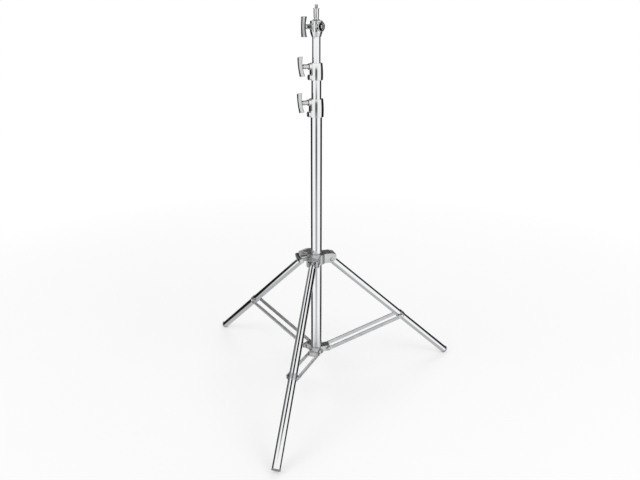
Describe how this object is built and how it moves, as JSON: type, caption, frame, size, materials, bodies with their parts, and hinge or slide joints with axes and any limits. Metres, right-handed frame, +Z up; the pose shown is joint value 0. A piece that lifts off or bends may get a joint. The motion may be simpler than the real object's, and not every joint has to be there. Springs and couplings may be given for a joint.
{
  "type": "telescopic lighting stand",
  "caption": "Telescopic lighting stand: three-section steel column with screw clamps and a stud head, on three tubular legs tied by brace bars to a lower hub.",
  "frame": {"origin": "on the floor under the column axis, legs spread", "axes": "+Z up along the column; the front leg points along -Y; +X to the right of it"},
  "size_m": [0.8498, 0.7394, 1.1937],
  "materials": {
    "polished_tube": "polished stainless steel tube",
    "leg_tube": "polished stainless steel leg tube",
    "chromed_casting": "bright chromed casting",
    "chromed_handle": "bright chromed casting",
    "satin_casting": "satin die-cast alloy",
    "bracket_metal": "satin metal",
    "brace_steel": "satin stainless bar",
    "bright_fastener": "machined bright steel",
    "clamp_screw": "zinc-plated threaded steel",
    "black_screw": "black oxide steel",
    "nylon": "moulded nylon",
    "brass_shoe": "turned brass",
    "black_plastic": "moulded plastic",
    "foot_rubber": "moulded rubber"
  },
  "bodies": {
    "column": {"base_tube": "polished_tube", "base_plug": "black_plastic", "lower_hub": "satin_casting", "hub_fixing_screw": "black_screw", "hub_bolts": "bright_fastener", "hub_nuts": "bright_fastener", "lower_collar": "chromed_casting", "lower_liner": "nylon", "lower_shoe": "brass_shoe", "lower_fixing_screw": "black_screw"},
    "lower_clamp": {"lower_handle": "chromed_handle", "lower_clamp_screw": "clamp_screw"},
    "lower_glide": {"lower_riser_glide": "nylon"},
    "lower_mast": {"lower_riser": "polished_tube", "upper_collar": "chromed_casting", "upper_liner": "nylon", "upper_shoe": "brass_shoe", "upper_fixing_screw": "black_screw"},
    "upper_clamp": {"upper_handle": "chromed_handle", "upper_clamp_screw": "clamp_screw"},
    "upper_glide": {"upper_riser_glide": "nylon"},
    "upper_mast": {"upper_riser": "polished_tube", "head": "chromed_casting", "head_pin": "black_screw"},
    "head_clamp": {"head_handle": "chromed_handle", "head_clamp_screw": "clamp_screw"},
    "stud": {"spigot": "bright_fastener"},
    "leg_collar": {"spider": "satin_casting", "spider_liners": "nylon", "spider_shoe": "brass_shoe", "leg_bolts": "bright_fastener", "leg_nuts": "bright_fastener", "leg_washers": "nylon"},
    "leg_collar_clamp": {"spider_handle": "chromed_handle", "spider_clamp_screw": "clamp_screw"},
    "front_leg": {"front_leg_tube": "leg_tube", "front_leg_plug": "black_plastic", "front_bracket": "bracket_metal", "front_foot": "foot_rubber"},
    "front_brace": {"front_brace_near": "brace_steel", "front_brace_far": "brace_steel", "front_brace_rivets": "bright_fastener"},
    "right_leg": {"right_leg_tube": "leg_tube", "right_leg_plug": "black_plastic", "right_bracket": "bracket_metal", "right_foot": "foot_rubber"},
    "right_brace": {"right_brace_near": "brace_steel", "right_brace_far": "brace_steel", "right_brace_rivets": "bright_fastener"},
    "left_leg": {"left_leg_tube": "leg_tube", "left_leg_plug": "black_plastic", "left_bracket": "bracket_metal", "left_foot": "foot_rubber"},
    "left_brace": {"left_brace_near": "brace_steel", "left_brace_far": "brace_steel", "left_brace_rivets": "bright_fastener"}
  },
  "joints": [
    {"name": "lower_mast_slide", "type": "slide", "parent": "column", "child": "lower_glide", "axis": [0, 0, 1], "range_m": [-0.044, 0.6]},
    {"name": "lower_mast_swivel", "type": "hinge", "parent": "lower_glide", "child": "lower_mast", "pos_m": [0, 0, 0.1646], "axis": [0, 0, 1], "continuous": true},
    {"name": "upper_mast_slide", "type": "slide", "parent": "lower_mast", "child": "upper_glide", "axis": [0, 0, 1], "range_m": [-0.062, 0.6]},
    {"name": "upper_mast_swivel", "type": "hinge", "parent": "upper_glide", "child": "upper_mast", "pos_m": [0, 0, 0.2666], "axis": [0, 0, 1], "continuous": true},
    {"name": "stud_lift", "type": "slide", "parent": "upper_mast", "child": "stud", "axis": [0, 0, 1], "range_m": [0, 0.028]},
    {"name": "lower_clamp_turn", "type": "hinge", "parent": "column", "child": "lower_clamp", "pos_m": [-0.02229, -0.02007, 0.9136], "axis": [-0.7431, -0.6691, 0], "range_deg": [0, 450]},
    {"name": "upper_clamp_turn", "type": "hinge", "parent": "lower_mast", "child": "upper_clamp", "pos_m": [-0.02081, -0.01874, 1.0186], "axis": [-0.7431, -0.6691, 0], "range_deg": [0, 450]},
    {"name": "head_clamp_turn", "type": "hinge", "parent": "upper_mast", "child": "head_clamp", "pos_m": [-0.01325, -0.0212, 1.1316], "axis": [-0.5299, -0.848, 0], "range_deg": [0, 450]},
    {"name": "leg_collar_slide", "type": "slide", "parent": "column", "child": "leg_collar", "axis": [0, 0, 1], "range_m": [0, 0.30603]},
    {"name": "leg_collar_clamp_turn", "type": "hinge", "parent": "leg_collar", "child": "leg_collar_clamp", "pos_m": [-0.02771, -0.016, 0.42267], "axis": [-0.866, -0.5, 0], "range_deg": [0, 450]},
    {"name": "front_leg_fold", "type": "hinge", "parent": "leg_collar", "child": "front_leg", "pos_m": [0, -0.046, 0.41245], "axis": [1, 0, 0], "range_deg": [0, 47]},
    {"name": "front_brace_fold", "type": "hinge", "parent": "column", "child": "front_brace", "pos_m": [0, -0.038, 0.0966], "axis": [-1, 0, 0], "range_deg": [0, 71.68]},
    {"name": "right_leg_fold", "type": "hinge", "parent": "leg_collar", "child": "right_leg", "pos_m": [0.03984, 0.023, 0.41245], "axis": [-0.5, 0.866, 0], "range_deg": [0, 47]},
    {"name": "right_brace_fold", "type": "hinge", "parent": "column", "child": "right_brace", "pos_m": [0.03291, 0.019, 0.0966], "axis": [0.5, -0.866, 0], "range_deg": [0, 71.68]},
    {"name": "left_leg_fold", "type": "hinge", "parent": "leg_collar", "child": "left_leg", "pos_m": [-0.03984, 0.023, 0.41245], "axis": [-0.5, -0.866, 0], "range_deg": [0, 47]},
    {"name": "left_brace_fold", "type": "hinge", "parent": "column", "child": "left_brace", "pos_m": [-0.03291, 0.019, 0.0966], "axis": [0.5, 0.866, 0], "range_deg": [0, 71.68]}
  ],
  "couplings": [
    {"joint": "front_leg_fold", "follows": "leg_collar_slide", "rad_per_m": 2.6804},
    {"joint": "front_brace_fold", "follows": "leg_collar_slide", "rad_per_m": 4.0877},
    {"joint": "right_leg_fold", "follows": "leg_collar_slide", "rad_per_m": 2.6804},
    {"joint": "right_brace_fold", "follows": "leg_collar_slide", "rad_per_m": 4.0877},
    {"joint": "left_leg_fold", "follows": "leg_collar_slide", "rad_per_m": 2.6804},
    {"joint": "left_brace_fold", "follows": "leg_collar_slide", "rad_per_m": 4.0877}
  ]
}
